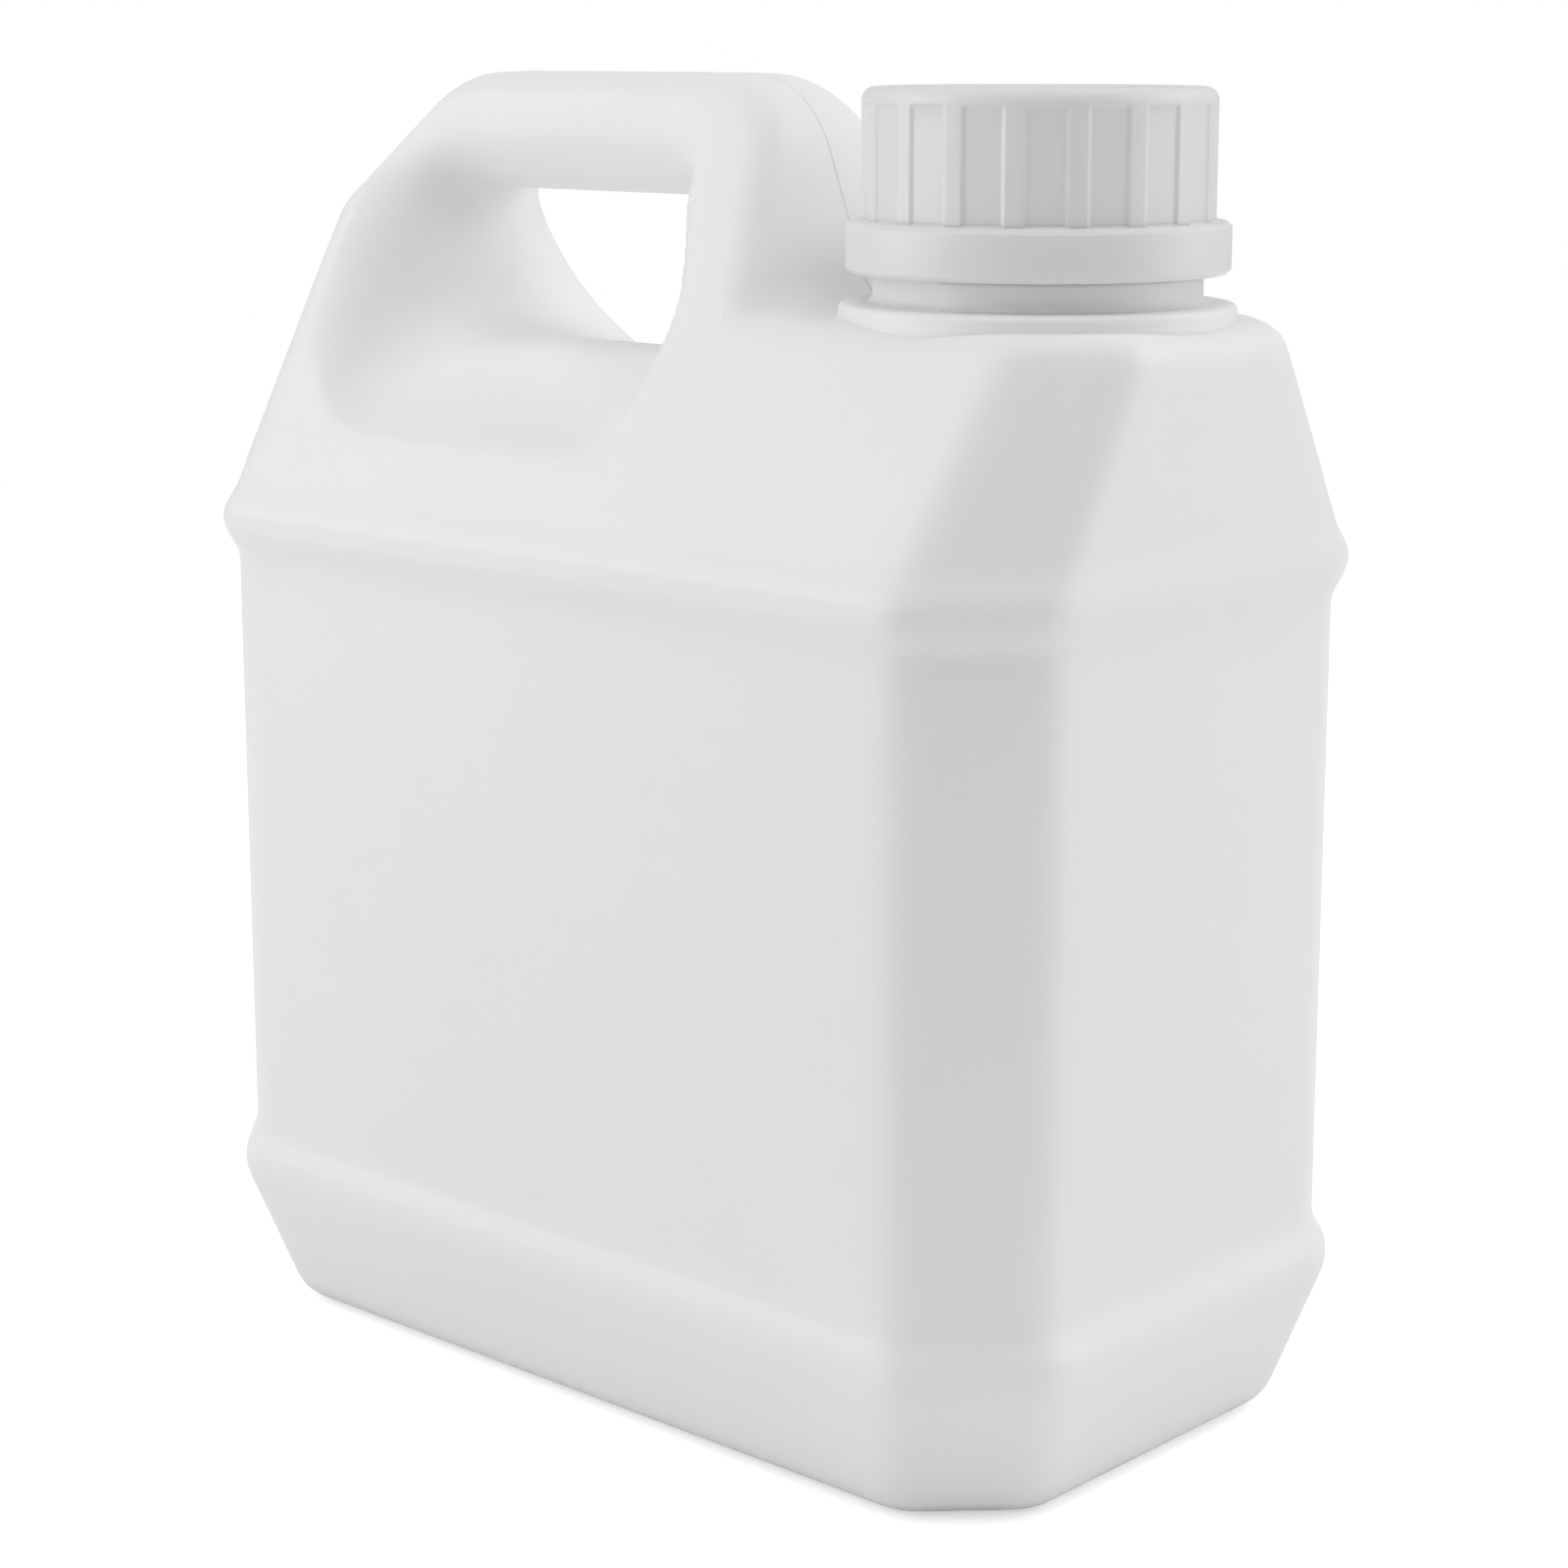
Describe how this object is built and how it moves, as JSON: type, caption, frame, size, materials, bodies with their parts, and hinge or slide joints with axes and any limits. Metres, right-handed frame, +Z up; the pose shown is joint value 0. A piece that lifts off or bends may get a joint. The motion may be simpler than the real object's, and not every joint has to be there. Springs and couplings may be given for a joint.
{
  "type": "plastic jerrycan",
  "caption": "Small white blow-moulded jerrycan with cut-off corners, a moulded-through top handle and an offset neck with a ribbed screw cap and tamper band.",
  "frame": {"origin": "centre of the base, on the surface the can stands on", "axes": "+X along the can's length towards the end with the neck and cap, +Y across its width, +Z up along the neck"},
  "size_m": [0.131, 0.0762, 0.1526],
  "materials": {
    "container": "white HDPE, satin, faintly translucent",
    "screw_cap": "white polypropylene, satin",
    "tamper_band": "white polypropylene, satin"
  },
  "bodies": {
    "root": {"container": "container", "screw_cap": "screw_cap", "tamper_band": "tamper_band"}
  },
  "joints": []
}
